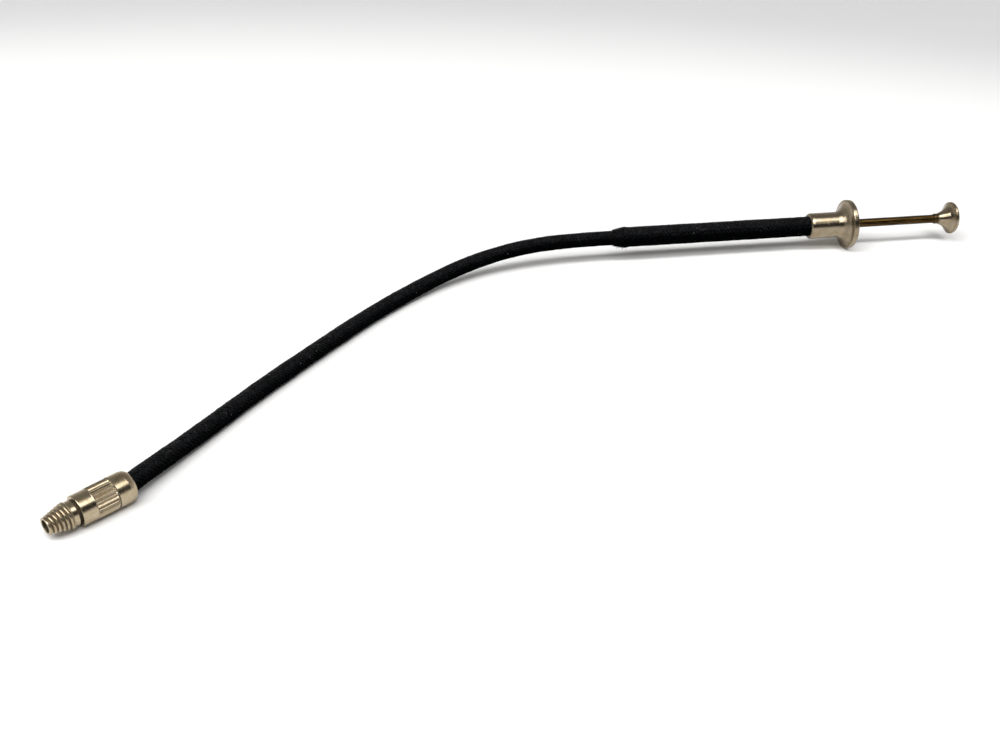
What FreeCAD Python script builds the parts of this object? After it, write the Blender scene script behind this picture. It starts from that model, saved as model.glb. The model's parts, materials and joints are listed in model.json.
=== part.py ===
import FreeCAD, Part
import math
import os

# Cable shutter release, about 200 mm along the cable.  Millimetres, +Z up.
#
# Frame: the origin is the centre of the knurled collar's front face, on the
# axis of the tapered thread.  The thread points along -X and the collar lies
# along +X.  The cable leaves the collar's rear, lies on a flat table for about
# half its length, then rises into the handle, whose axis is level.  The table
# touches the rear of the collar, so it stands at Z = -collar_rear_r.
#
# Names: _x is a place along a part's own axis, with _x0 and _x1 its two ends,
# and _r is a radius.

Vector = FreeCAD.Vector

# ---------------------------------------------------------------- dimensions
# tapered nipple that screws into a camera or shutter
tip_x, tip_r = -4.50, 1.34             # face of the tip, and its plain rim
nipple_chamfer = 0.06                  # on the tip and on the shoulder
thread_x0, thread_x1 = -4.15, -1.30
thread_r0, thread_r1 = 1.42, 2.16      # crest radius at the small and large end
thread_pitch, thread_depth = 0.56, 0.25
shoulder_r = 1.92                      # plain shoulder behind the thread
undercut_x, undercut_r = -0.34, 1.62   # groove in front of the collar
spigot_x, spigot_r = 3.20, 1.85        # the nipple's stem inside the collar
tip_bore_r, tip_bore_end = 1.00, -2.50
pin_guide_r = 0.80

# vee cutter for the thread
vee_root_half_width = 0.035
vee_height = thread_depth + 0.20       # stands clear of the crest
vee_half_width = vee_height * 0.60
thread_run_in, thread_run_out = 0.30, 0.05   # how far the cut passes the thread's ends

# knurled collar
collar_len, collar_r, collar_rear_r = 8.62, 2.385, 2.47
collar_chamfer = 0.14
knurl_x0, knurl_x1 = 2.25, 5.60
knurl_count, knurl_depth, knurl_crest_r = 22, 0.20, 2.41
knurl_step = 0.05                      # length of the slope at each end of the knurl
knurl_overcut, knurl_half_width = 0.10, 0.36   # the cutter above the crest
knurl_start_deg = 4.0
collar_lip_x = 7.20
collar_lip_r0, collar_lip_r1 = 1.62, 1.85

# cable end ferrule, captive in the collar so that the collar can turn on it
ferrule_x0, ferrule_x1, ferrule_r = 3.30, 7.10, 1.80
ferrule_wall_x, ferrule_hole_r = 3.90, 0.82
ferrule_front_chamfer, ferrule_rear_chamfer = 0.12, 0.08

# release pin
pin_x0, pin_x1, pin_r = -2.60, 7.80, 0.75
pin_front_chamfer, pin_rear_chamfer = 0.10, 0.08

# cable: cotton braid over a close-wound steel conduit over a core wire
braid_r, conduit_r, conduit_bore_r, wire_r = 1.50, 1.15, 0.82, 0.50
bend_x, bend_r = 7.30, 5.00            # where the cable turns off the collar's axis
bend_angle = math.radians(17.30)
first_flex, flex_pitch, flex_count = 6.50, 15.00, 8   # lengths along the curve
braid_gap, conduit_gap, wire_gap = 0.86, 0.68, 0.32   # open length at a flex point

# handle: x is measured along its level axis from the mouth of its braid
handle_deg = -39.35
handle_braid_r, handle_braid_x1 = 2.075, 43.60
barrel_x0, barrel_x1, barrel_r, barrel_bore_r = 1.60, 49.60, 1.75, 1.45
stub_braid_x1 = 1.50                   # ends of the cable's layers in the handle
socket_x1 = 6.60
wire_end_x = 30.0

# plunger and the parts it slides through
rod_r, rod_bore_r, rod_x0, rod_x1 = 0.88, 0.56, 28.0, 72.20
rod_guide_r = rod_r + 0.05
seat_x0, seat_x1 = 19.0, 20.0
stop_x0, stop_x1, stop_r, stop_chamfer = 43.40, 44.60, 1.40, 0.08
bush_x0 = stop_x1 + 0.10
spring_clearance = 0.02
spring_x0, spring_x1 = seat_x1 + spring_clearance, stop_x0 - spring_clearance
spring_turns, spring_coil_r, spring_wire_r = 15, 1.16, 0.17

# finger flange and its sleeve
sleeve_x0, sleeve_r = 41.25, 2.68
flange_r, flange_front_x = 5.05, 50.50
flange_hole_r, flange_hole_chamfer = 1.00, 0.12

# thumb button
button_neck_x, button_neck_r = 69.30, 1.00
button_bead_r = button_neck_r + 0.07
button_r, button_face_x, button_face_r = 3.35, 73.65, 2.75


# ------------------------------------------------------------------- helpers
def turned(*outline):
    """Solid of revolution about the X axis from a closed (x, r) outline.  A
    step is a point, or a pair of points: the middle and the end of an arc."""
    edges = []
    start = Vector(outline[0][0], 0, outline[0][1])
    for step in outline[1:] + outline[:1]:
        if isinstance(step[0], tuple):
            middle, end = [Vector(x, 0, radius) for x, radius in step]
            edges.append(Part.Arc(start, middle, end).toShape())
        else:
            end = Vector(step[0], 0, step[1])
            edges.append(Part.makeLine(start, end))
        start = end
    face = Part.Face(Part.Wire(edges))
    return face.revolve(Vector(0, 0, 0), Vector(1, 0, 0), 360)


def tube(x0, x1, outer_r, inner_r):
    return turned((x0, inner_r), (x1, inner_r), (x1, outer_r), (x0, outer_r))


def lay_on_x(shape, x):
    """Turns a shape built along +Z from the origin to lie along +X from x."""
    shape.rotate(Vector(0, 0, 0), Vector(0, 1, 0), 90)
    shape.translate(Vector(x, 0, 0))
    return shape


def sweep_along(spine, outer_r, inner_r):
    """Round bar, or tube if inner_r is not 0, along a smooth wire."""
    first = spine.OrderedEdges[0]
    start = first.valueAt(first.FirstParameter)
    direction = first.tangentAt(first.FirstParameter)

    def bar(radius):
        ring = Part.Wire([Part.Circle(start, direction, radius).toShape()])
        return spine.makePipeShell([ring], True, False)

    solid = bar(outer_r)
    return solid.cut(bar(inner_r)) if inner_r else solid


def tangent_arc(start, direction, end):
    """The circular arc from start to end that leaves start along direction."""
    chord = end - start
    along = Vector(chord).normalize()
    side = direction - along * direction.dot(along)
    angle = math.atan2(side.Length, direction.dot(along))
    bulge = chord.Length / 2 * math.tan(angle / 2)
    middle = (start + end) * 0.5 + side.normalize() * bulge
    return Part.Arc(start, middle, end).toShape()


def bend_point(angle):
    """Point on the cable's first bend, after it has turned by angle."""
    return Vector(bend_x + bend_r * math.sin(angle), bend_r * (1 - math.cos(angle)), 0)


# ------------------------------------------------- the cable's resting curve
# (x, y, z) on the centre line, from the end of the bend to the handle
cable_points = [bend_point(bend_angle)] + [Vector(*point) for point in (
    (16.40, 2.56, -0.38), (25.03, 5.10, -0.77), (34.68, 7.71, -0.87),
    (45.39, 10.21, -0.88), (56.16, 12.46, -0.88), (64.99, 14.17, -0.88),
    (72.91, 15.29, -0.82), (80.88, 15.68, -0.50), (87.83, 15.17, 0.14),
    (94.13, 13.80, 0.92), (100.13, 11.45, 1.74), (106.22, 8.09, 2.40),
    (112.83, 3.59, 2.66), (120.52, -2.40, 2.664))]


def level_direction(angle):
    return Vector(math.cos(angle), math.sin(angle), 0)


cable_start, handle_origin = cable_points[0], cable_points[-1]
cable_start_dir = level_direction(bend_angle)
handle_dir = level_direction(math.radians(handle_deg))
curve = Part.BSplineCurve()
curve.interpolate(Points=cable_points, InitialTangent=cable_start_dir,
                  FinalTangent=handle_dir)
curve_edge = curve.toShape()
flex_lengths = [first_flex + flex_pitch * i for i in range(flex_count)]


def curve_point(length):
    """Point at that length along the curve."""
    return curve_edge.valueAt(curve_edge.getParameterByLength(length))


def on_handle(shape):
    """Moves a shape built along +X from the origin onto the handle's axis."""
    moved = shape.copy()
    handle_place = FreeCAD.Placement(
        handle_origin, FreeCAD.Rotation(Vector(0, 0, 1), handle_deg))
    moved.Placement = handle_place.multiply(moved.Placement)
    return moved


# -------------------------------------------------------------- collar end
def thread_groove():
    """Vee swept along a conical helix, running past both ends of the thread."""
    slope = (thread_r1 - thread_r0) / (thread_x1 - thread_x0)
    run_x0, run_x1 = thread_x0 - thread_run_in, thread_x1 + thread_run_out
    root_r = thread_r0 + slope * (run_x0 - thread_x0) - thread_depth
    helix = Part.makeHelix(thread_pitch, run_x1 - run_x0, root_r,
                           math.degrees(math.atan(slope)))
    outer_r = root_r + vee_height
    vee = Part.makePolygon([
        Vector(root_r, 0, -vee_root_half_width), Vector(outer_r, 0, -vee_half_width),
        Vector(outer_r, 0, vee_half_width), Vector(root_r, 0, vee_root_half_width),
        Vector(root_r, 0, -vee_root_half_width)])
    return lay_on_x(Part.Wire(helix).makePipeShell([vee], True, True), run_x0)


def threaded_nipple():
    """Tapered thread, shoulder, undercut and stem."""
    blank = turned(
        (tip_x, tip_bore_r), (tip_bore_end, tip_bore_r), (tip_bore_end, pin_guide_r),
        (spigot_x, pin_guide_r), (spigot_x, spigot_r), (0.0, spigot_r),
        (0.0, undercut_r), (undercut_x, undercut_r),
        (undercut_x, shoulder_r - nipple_chamfer),
        (undercut_x - nipple_chamfer, shoulder_r), (thread_x1 + 0.22, shoulder_r),
        (thread_x1, thread_r1), (thread_x0, thread_r0), (thread_x0 - 0.05, tip_r),
        (tip_x + nipple_chamfer, tip_r), (tip_x, tip_r - nipple_chamfer))
    return blank.cut(thread_groove())


def knurled_collar():
    """Front band, straight knurl, and rear band with a rounded end."""
    body = turned(
        (0.0, spigot_r), (collar_lip_x, spigot_r), (collar_lip_x, collar_lip_r0),
        ((8.02, 1.69), (collar_len - 0.03, collar_lip_r1)),
        (collar_len, collar_lip_r1 + 0.06),
        ((8.35, 2.26), (7.60, collar_rear_r)), (knurl_x1 + knurl_step, collar_rear_r),
        (knurl_x1, knurl_crest_r), (knurl_x0, knurl_crest_r),
        (knurl_x0 - knurl_step, collar_r),
        (collar_chamfer, collar_r), (0.0, collar_r - collar_chamfer))
    root_z, outer_z = knurl_crest_r - knurl_depth, knurl_crest_r + knurl_overcut
    root = Vector(knurl_x0, 0, root_z)
    cuts = []
    for i in range(knurl_count):
        vee = Part.Face(Part.makePolygon([
            root, Vector(knurl_x0, -knurl_half_width, outer_z),
            Vector(knurl_x0, knurl_half_width, outer_z), root]))
        cut = vee.extrude(Vector(knurl_x1 - knurl_x0, 0, 0))
        cut.rotate(Vector(0, 0, 0), Vector(1, 0, 0),
                   360.0 * i / knurl_count + knurl_start_deg)
        cuts.append(cut)
    return body.cut(Part.makeCompound(cuts))


def release_pin():
    """Slides in the nipple."""
    return turned(
        (pin_x0, 0.0), (pin_x1, 0.0), (pin_x1, pin_r - pin_rear_chamfer),
        (pin_x1 - pin_rear_chamfer, pin_r), (pin_x0 + pin_front_chamfer, pin_r),
        (pin_x0, pin_r - pin_front_chamfer))


def cable_end_ferrule():
    """Crimped over the cable's end."""
    return turned(
        (ferrule_x0, ferrule_hole_r), (ferrule_wall_x, ferrule_hole_r),
        (ferrule_wall_x, braid_r), (ferrule_x1, braid_r),
        (ferrule_x1, ferrule_r - ferrule_rear_chamfer),
        (ferrule_x1 - ferrule_rear_chamfer, ferrule_r),
        (ferrule_x0 + ferrule_front_chamfer, ferrule_r),
        (ferrule_x0, ferrule_r - ferrule_front_chamfer))


# ------------------------------------------------------------------- cable
def section_arc(i, gap):
    """Arc of section i, short of its flex points by half the gap."""
    if i == 0:
        return tangent_arc(cable_start, cable_start_dir,
                           curve_point(flex_lengths[0] - gap / 2))
    if i == flex_count:
        # built back from the handle to be tangent there, then reversed
        back = tangent_arc(handle_origin, handle_dir * -1.0,
                           curve_point(flex_lengths[-1] + gap / 2))
        first, last = back.FirstParameter, back.LastParameter
        return Part.Arc(back.valueAt(last), back.valueAt((first + last) / 2),
                        back.valueAt(first)).toShape()
    start, end = flex_lengths[i - 1] + gap / 2, flex_lengths[i] - gap / 2
    return Part.Arc(curve_point(start), curve_point((start + end) / 2),
                    curve_point(end)).toShape()


def cable_section(i, gap, outer_r, inner_r, start_x, handle_end_x):
    """One layer's section i.  The first one starts at start_x in the ferrule,
    or at the end of the bend if that is None; the last ends in the handle."""
    edges = [section_arc(i, gap)]
    if i == 0 and start_x is not None:
        bend = Part.Arc(bend_point(0), bend_point(bend_angle / 2),
                        bend_point(bend_angle)).toShape()
        lead_in = Part.makeLine(Vector(start_x, 0, 0), Vector(bend_x, 0, 0))
        edges = [lead_in, bend] + edges
    if i == flex_count:
        edges.append(Part.makeLine(handle_origin,
                                   handle_origin + handle_dir * handle_end_x))
    return sweep_along(Part.Wire(edges), outer_r, inner_r)


# name, gap, outer radius, inner radius, start x, end x in the handle
cable_layers = (
    ("cable_braid", braid_gap, braid_r, conduit_r, ferrule_wall_x, stub_braid_x1),
    ("cable_conduit", conduit_gap, conduit_r, conduit_bore_r, ferrule_wall_x, socket_x1),
    ("core_wire", wire_gap, wire_r, 0.0, None, wire_end_x))


# ------------------------------------- handle, each piece built along +X
def return_spring():
    turn_pitch = (spring_x1 - spring_x0 - 2 * spring_wire_r) / spring_turns
    coil = Part.makeHelix(turn_pitch, turn_pitch * spring_turns, spring_coil_r)
    ring = Part.Wire([Part.Circle(
        Vector(spring_coil_r, 0, 0), Vector(0, 1, 0), spring_wire_r).toShape()])
    return lay_on_x(Part.Wire(coil).makePipeShell([ring], True, True),
                    spring_x0 + spring_wire_r)


def finger_flange():
    """Flange at the front of a sleeve that fits over the braid and barrel."""
    return turned(
        # stepped bore, from the sleeve's mouth to the flange's face
        (sleeve_x0, handle_braid_r), (handle_braid_x1, handle_braid_r),
        (handle_braid_x1, barrel_r), (barrel_x1, barrel_r), (barrel_x1, flange_hole_r),
        (flange_front_x - flange_hole_chamfer, flange_hole_r),
        (flange_front_x, flange_hole_r + flange_hole_chamfer),
        # rim, then the sweep down to the sleeve and its rounded mouth
        (flange_front_x, flange_r - 0.25),
        ((flange_front_x - 0.08, flange_r - 0.06), (flange_front_x - 0.26, flange_r)),
        (flange_front_x - 0.98, flange_r), (flange_front_x - 1.10, flange_r - 0.14),
        (flange_front_x - 1.24, flange_r - 0.75),
        ((48.60, 3.28), (47.20, sleeve_r)), (sleeve_x0 + 0.50, sleeve_r),
        ((sleeve_x0 + 0.14, sleeve_r - 0.16), (sleeve_x0, handle_braid_r + 0.12)))


def plunger_stop():
    """Collar on the rod, chamfered at both ends."""
    return turned(
        (stop_x0, rod_r), (stop_x1, rod_r), (stop_x1, stop_r - stop_chamfer),
        (stop_x1 - stop_chamfer, stop_r), (stop_x0 + stop_chamfer, stop_r),
        (stop_x0, stop_r - stop_chamfer))


def thumb_button():
    """Flat-faced button on a flared neck with a small bead."""
    return turned(
        (button_neck_x, rod_r), (rod_x1, rod_r), (rod_x1, 0.0), (button_face_x, 0.0),
        (button_face_x, button_face_r),
        ((button_face_x - 0.12, button_r - 0.14), (button_face_x - 0.48, button_r)),
        ((button_face_x - 0.72, button_r - 0.06), (button_face_x - 0.82, button_r - 0.26)),
        ((72.18, 2.32), (71.35, 1.62)), (69.95, button_neck_r),
        (69.80, button_bead_r), (69.45, button_bead_r), (button_neck_x, button_neck_r))


# ------------------------------------------------------------------ assembly
nodes = {
    "threaded_nipple": threaded_nipple(),
    "knurled_collar": knurled_collar(),
    "release_pin": release_pin(),
    "cable_end_ferrule": cable_end_ferrule(),
}
for layer_name, *layer in cable_layers:
    for i in range(flex_count + 1):
        nodes["%s_%d" % (layer_name, i)] = cable_section(i, *layer)

handle_pieces = {
    "handle_braid": tube(0.0, handle_braid_x1, handle_braid_r, barrel_r),
    "barrel_tube": tube(barrel_x0, barrel_x1, barrel_r, barrel_bore_r),
    "conduit_socket": tube(barrel_x0, socket_x1, barrel_bore_r, conduit_r),
    "spring_seat": tube(seat_x0, seat_x1, barrel_bore_r, rod_guide_r),
    "rod_guide_bush": tube(bush_x0, barrel_x1, barrel_bore_r, rod_guide_r),
    "return_spring": return_spring(),
    "finger_flange": finger_flange(),
    "plunger_rod": tube(rod_x0, rod_x1, rod_r, rod_bore_r),
    "plunger_stop": plunger_stop(),
    "thumb_button": thumb_button(),
}
for name, shape in handle_pieces.items():
    nodes[name] = on_handle(shape)

# -------------------------------------------------------------------- export
os.makedirs("parts", exist_ok=True)
for name, shape in nodes.items():
    # a cut may wrap its one solid in a compound
    solids = shape.Solids
    piece = solids[0] if len(solids) == 1 else shape
    piece.exportStep("parts/%s.step" % name)
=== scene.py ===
import json
import math

import bpy
import numpy as np
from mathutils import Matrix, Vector

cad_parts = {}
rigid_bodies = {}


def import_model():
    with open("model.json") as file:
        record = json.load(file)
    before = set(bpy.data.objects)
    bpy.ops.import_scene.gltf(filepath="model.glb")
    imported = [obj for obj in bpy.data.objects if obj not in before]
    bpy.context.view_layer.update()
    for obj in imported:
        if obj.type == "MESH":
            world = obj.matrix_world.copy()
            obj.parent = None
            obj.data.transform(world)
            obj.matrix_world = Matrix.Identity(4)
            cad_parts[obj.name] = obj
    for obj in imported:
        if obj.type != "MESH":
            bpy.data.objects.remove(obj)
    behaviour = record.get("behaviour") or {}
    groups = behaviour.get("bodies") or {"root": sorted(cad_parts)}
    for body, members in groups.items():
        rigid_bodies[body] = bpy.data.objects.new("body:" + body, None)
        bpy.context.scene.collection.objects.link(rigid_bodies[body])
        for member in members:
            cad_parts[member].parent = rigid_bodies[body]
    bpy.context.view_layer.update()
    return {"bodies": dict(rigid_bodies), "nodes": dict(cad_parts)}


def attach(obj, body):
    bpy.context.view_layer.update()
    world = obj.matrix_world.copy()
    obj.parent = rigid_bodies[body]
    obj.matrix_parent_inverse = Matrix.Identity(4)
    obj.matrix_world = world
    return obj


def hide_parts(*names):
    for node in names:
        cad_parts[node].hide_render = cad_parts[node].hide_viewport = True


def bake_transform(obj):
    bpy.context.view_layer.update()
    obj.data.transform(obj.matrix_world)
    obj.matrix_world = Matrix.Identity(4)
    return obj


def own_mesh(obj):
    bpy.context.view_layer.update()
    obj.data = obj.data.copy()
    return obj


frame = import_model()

# Cable shutter release on a pale table.  Lengths in millimetres unless a name
# says otherwise; everything is scaled to metres when a mesh is made.

MM = 0.001
TAU = 2 * math.pi
TABLE_Z = -2.47

# ------------------------------------------------------------ the cable's curve
CURVE = np.array([
    (8.7869, 0.2262, -0.0000, 0.95476, 0.29737, -0.00000),
    (10.6762, 0.8125, -0.0339, 0.95488, 0.29517, -0.03279),
    (12.5652, 1.3940, -0.1231, 0.95459, 0.29270, -0.05554),
    (14.4538, 1.9707, -0.2456, 0.95465, 0.29028, -0.06615),
    (16.3433, 2.5429, -0.3762, 0.95546, 0.28816, -0.06368),
    (18.2350, 3.1110, -0.4931, 0.95668, 0.28599, -0.05449),
    (20.1290, 3.6743, -0.5921, 0.95792, 0.28337, -0.04569),
    (22.0256, 4.2320, -0.6740, 0.95920, 0.28027, -0.03720),
    (23.9247, 4.7831, -0.7394, 0.96052, 0.27669, -0.02894),
    (25.8265, 5.3265, -0.7887, 0.96191, 0.27257, -0.02095),
    (27.7311, 5.8612, -0.8232, 0.96337, 0.26781, -0.01419),
    (29.6387, 6.3858, -0.8458, 0.96492, 0.26238, -0.00890),
    (31.5495, 6.8990, -0.8594, 0.96659, 0.25629, -0.00510),
    (33.4637, 7.3996, -0.8670, 0.96835, 0.24957, -0.00280),
    (35.3814, 7.8862, -0.8715, 0.97020, 0.24229, -0.00192),
    (37.3028, 8.3586, -0.8748, 0.97191, 0.23536, -0.00141),
    (39.2273, 8.8179, -0.8771, 0.97342, 0.22901, -0.00097),
    (41.1546, 9.2652, -0.8786, 0.97476, 0.22325, -0.00061),
    (43.0844, 9.7017, -0.8796, 0.97593, 0.21807, -0.00032),
    (45.0163, 10.1285, -0.8800, 0.97695, 0.21347, -0.00011),
    (46.9502, 10.5468, -0.8800, 0.97781, 0.20949, 0.00003),
    (48.8855, 10.9579, -0.8799, 0.97851, 0.20618, 0.00010),
    (50.8221, 11.3632, -0.8797, 0.97906, 0.20356, 0.00009),
    (52.7597, 11.7639, -0.8796, 0.97946, 0.20161, 0.00001),
    (54.6979, 12.1614, -0.8797, 0.97972, 0.20035, -0.00013),
    (56.6365, 12.5571, -0.8802, 0.97986, 0.19968, -0.00034),
    (58.5756, 12.9504, -0.8809, 0.98033, 0.19737, -0.00040),
    (60.5161, 13.3365, -0.8816, 0.98130, 0.19250, -0.00022),
    (62.4589, 13.7104, -0.8816, 0.98273, 0.18506, 0.00021),
    (64.4051, 14.0671, -0.8806, 0.98456, 0.17504, 0.00087),
    (66.3552, 14.4014, -0.8778, 0.98672, 0.16243, 0.00214),
    (68.3098, 14.7081, -0.8710, 0.98909, 0.14723, 0.00504),
    (70.2692, 14.9822, -0.8568, 0.99155, 0.12940, 0.00965),
    (72.2334, 15.2184, -0.8317, 0.99392, 0.10895, 0.01595),
    (74.2020, 15.4116, -0.7925, 0.99601, 0.08590, 0.02405),
    (76.1743, 15.5567, -0.7351, 0.99759, 0.06039, 0.03430),
    (78.1491, 15.6489, -0.6553, 0.99838, 0.03239, 0.04673),
    (80.1243, 15.6832, -0.5488, 0.99812, 0.00186, 0.06134),
    (82.0978, 15.6547, -0.4115, 0.99653, -0.03110, 0.07720),
    (84.0669, 15.5588, -0.2449, 0.99366, -0.06619, 0.09086),
    (86.0289, 15.3914, -0.0537, 0.98940, -0.10338, 0.10196),
    (87.9810, 15.1483, 0.1569, 0.98359, -0.14263, 0.11050),
    (89.9198, 14.8253, 0.3824, 0.97583, -0.18443, 0.11725),
    (91.8408, 14.4165, 0.6201, 0.96559, -0.22925, 0.12281),
    (93.7388, 13.9161, 0.8675, 0.95240, -0.27708, 0.12712),
    (95.6077, 13.3194, 1.1218, 0.93665, -0.32555, 0.12925),
    (97.4449, 12.6308, 1.3763, 0.92037, -0.36972, 0.12737),
    (99.2498, 11.8592, 1.6232, 0.90419, -0.40947, 0.12154),
    (101.0232, 11.0134, 1.8548, 0.88859, -0.44482, 0.11199),
    (102.7668, 10.1022, 2.0646, 0.87407, -0.47549, 0.09961),
    (104.4828, 9.1346, 2.2471, 0.86078, -0.50192, 0.08439),
    (106.1739, 8.1185, 2.3964, 0.84882, -0.52455, 0.06603),
    (107.8420, 7.0605, 2.5078, 0.83733, -0.54468, 0.04695),
    (109.4873, 5.9644, 2.5841, 0.82587, -0.56302, 0.03079),
    (111.1106, 4.8342, 2.6320, 0.81519, -0.57891, 0.01821),
    (112.7139, 3.6754, 2.6587, 0.80584, -0.59205, 0.00937),
    (114.3005, 2.4933, 2.6712, 0.79817, -0.60242, 0.00367),
    (115.8732, 1.2928, 2.6745, 0.79173, -0.61087, -0.00006),
    (117.4338, 0.0766, 2.6720, 0.78589, -0.61837, -0.00216),
    (118.9830, -1.1541, 2.6671, 0.78006, -0.62571, -0.00248),
    (120.5200, -2.4000, 2.6640, 0.77329, -0.63406, -0.00000),
])
CURVE_LEN = 118.71307
HANDLE_O = np.array([120.52, -2.40, 2.664])
HANDLE_D = np.array([0.77328719, -0.63405593, 0.0])
UP = np.array([0.0, 0.0, 1.0])
HANDLE_N = np.cross(UP, HANDLE_D)
BEND_X, BEND_R, BEND_A = 7.30, 5.00, math.radians(17.30)
BEND_LEN = BEND_R * BEND_A


def curve_table():
    """Centre line sampled every 0.05 mm from inside the collar to inside the
    handle: arc length, point, tangent, and two cross directions without twist."""
    u = np.linspace(0, len(CURVE) - 1, (len(CURVE) - 1) * 60 + 1)
    i = np.minimum(u.astype(int), len(CURVE) - 2)
    t = (u - i)[:, None]
    p0, p1 = CURVE[i, :3], CURVE[i + 1, :3]
    m0, m1 = CURVE[i, 3:], CURVE[i + 1, 3:]
    h = CURVE_LEN / (len(CURVE) - 1)
    h00, h10 = 2 * t**3 - 3 * t**2 + 1, t**3 - 2 * t**2 + t
    h01, h11 = -2 * t**3 + 3 * t**2, t**3 - t**2
    mid = h00 * p0 + h10 * h * m0 + h01 * p1 + h11 * h * m1
    a = np.linspace(0, BEND_A, 30)[:-1]
    bend = np.stack([BEND_X + BEND_R * np.sin(a), BEND_R * (1 - np.cos(a)), 0 * a], 1)
    x = np.arange(2.0, BEND_X - 0.02, 0.05)
    lead = np.stack([x, 0 * x, 0 * x], 1)
    q = np.arange(0.05, 60.0, 0.05)
    tail = HANDLE_O + q[:, None] * HANDLE_D
    pts = np.concatenate([lead, bend, mid, tail])
    step = np.linalg.norm(np.diff(pts, axis=0), axis=1)
    s = np.concatenate([[0], np.cumsum(step)])
    zero = len(lead) + len(bend)
    s -= s[zero]
    grid = np.arange(s[0], s[-1], 0.05)
    p = np.stack([np.interp(grid, s, pts[:, k]) for k in range(3)], 1)
    # light smoothing of the joins between the four stretches
    tan = np.gradient(p, axis=0)
    ker = np.ones(9) / 9
    tan = np.stack([np.convolve(np.pad(tan[:, k], 4, "edge"), ker, "valid") for k in range(3)], 1)
    tan /= np.linalg.norm(tan, axis=1)[:, None]
    n = np.zeros_like(p)
    n[0] = np.array([0, 0, 1.0])
    for k in range(1, len(p)):
        v = n[k - 1] - tan[k] * (n[k - 1] @ tan[k])
        n[k] = v / np.linalg.norm(v)
    b = np.cross(tan, n)
    return grid, p, tan, n, b


S_GRID, S_P, S_T, S_N, S_B = curve_table()


def along(s):
    """Point, tangent and the two cross directions at arc lengths s."""
    f = (np.asarray(s, float) - S_GRID[0]) / 0.05
    i = np.clip(f.astype(int), 0, len(S_GRID) - 2)
    t = (f - i)[..., None]
    mix = lambda a: a[i] * (1 - t) + a[i + 1] * t
    return mix(S_P), mix(S_T), mix(S_N), mix(S_B)


def row_point(x, r, a):
    """Turned about the X axis: a is the angle from +Y towards +Z."""
    return np.stack([x + 0 * a, r * np.cos(a), r * np.sin(a)], -1)


def handle_point(x, r, a):
    """Turned about the handle's axis, x from the mouth of its braid."""
    return (HANDLE_O + np.asarray(x)[..., None] * HANDLE_D
            + (r * np.cos(a))[..., None] * HANDLE_N + (r * np.sin(a))[..., None] * UP)


# ------------------------------------------------------------------ mesh making
def make_mesh(name, verts, faces, uv=None, attrs=None, materials=(), face_mat=None):
    """verts in mm; faces a list of (n, k) integer arrays."""
    me = bpy.data.meshes.new(name)
    verts = np.asarray(verts, float) * MM
    me.vertices.add(len(verts))
    me.vertices.foreach_set("co", verts.astype(np.float32).ravel())
    faces = [f for f in faces if len(f)]
    loops = np.concatenate([f.ravel() for f in faces])
    totals = np.concatenate([np.full(len(f), f.shape[1]) for f in faces])
    starts = np.concatenate([[0], np.cumsum(totals)[:-1]])
    me.loops.add(len(loops))
    me.loops.foreach_set("vertex_index", loops.astype(np.int32))
    me.polygons.add(len(totals))
    me.polygons.foreach_set("loop_start", starts.astype(np.int32))
    me.polygons.foreach_set("loop_total", totals.astype(np.int32))
    for m in materials:
        me.materials.append(m)
    if face_mat is not None:
        me.polygons.foreach_set("material_index", np.concatenate(face_mat).astype(np.int32))
    me.update(calc_edges=True)
    if uv is not None:
        layer = me.uv_layers.new(name="UVMap")
        layer.data.foreach_set("uv", np.concatenate([u.reshape(-1, 2) for u in uv]).astype(np.float32).ravel())
    for key, val in (attrs or {}).items():
        val = np.asarray(val, np.float32)
        kind = "FLOAT_VECTOR" if val.ndim == 2 else "FLOAT"
        at = me.attributes.new(key, kind, "POINT")
        at.data.foreach_set("vector" if val.ndim == 2 else "value", val.ravel())
    me.polygons.foreach_set("use_smooth", np.ones(len(totals), bool))
    me.validate()
    me.update()
    ob = bpy.data.objects.new(name, me)
    bpy.context.scene.collection.objects.link(ob)
    return ob


def fillet(points, closed):
    """Polyline (x, r, radius) with each corner rounded to its radius."""
    out, n = [], len(points)
    for i in range(n):
        p = np.array(points[i][:2], float)
        rad = points[i][2] if len(points[i]) > 2 else 0
        if rad <= 0 or (not closed and i in (0, n - 1)):
            out.append(p)
            continue
        a = np.array(points[i - 1][:2], float) - p
        b = np.array(points[(i + 1) % n][:2], float) - p
        la, lb = np.linalg.norm(a), np.linalg.norm(b)
        a, b = a / la, b / lb
        half = math.acos(max(-1, min(1, a @ b))) / 2
        if half > math.radians(88.5):
            out.append(p)
            continue
        d = min(rad / math.tan(half), la * 0.49, lb * 0.49)
        rad = d * math.tan(half)
        c = p + (a + b) / np.linalg.norm(a + b) * (rad / math.sin(half))
        t0, t1 = p + a * d, p + b * d
        a0, a1 = math.atan2(*(t0 - c)[::-1]), math.atan2(*(t1 - c)[::-1])
        da = (a1 - a0 + math.pi) % TAU - math.pi
        k = max(4, int(abs(da) / math.radians(12)) + 1)
        for j in range(k + 1):
            q = a0 + da * j / k
            out.append(c + rad * np.array([math.cos(q), math.sin(q)]))
    return np.array(out)


def refine(path, closed, step):
    """More rows on long stretches, with close rows beside each corner."""
    rows = []
    n = len(path)
    for i in range(n if closed else n - 1):
        p, q = path[i], path[(i + 1) % n]
        ln = np.linalg.norm(q - p)
        k = max(1, int(math.ceil(ln / step)))
        ts = list(np.arange(k) / k)
        if ln > 0.16:
            e = 0.03 / ln
            ts = sorted(set([0.0, e] + [t for t in ts if e < t < 1 - e] + [1 - e]))
        rows += [p + (q - p) * t for t in ts]
    if not closed:
        rows.append(path[-1])
    return np.array(rows)


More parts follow.
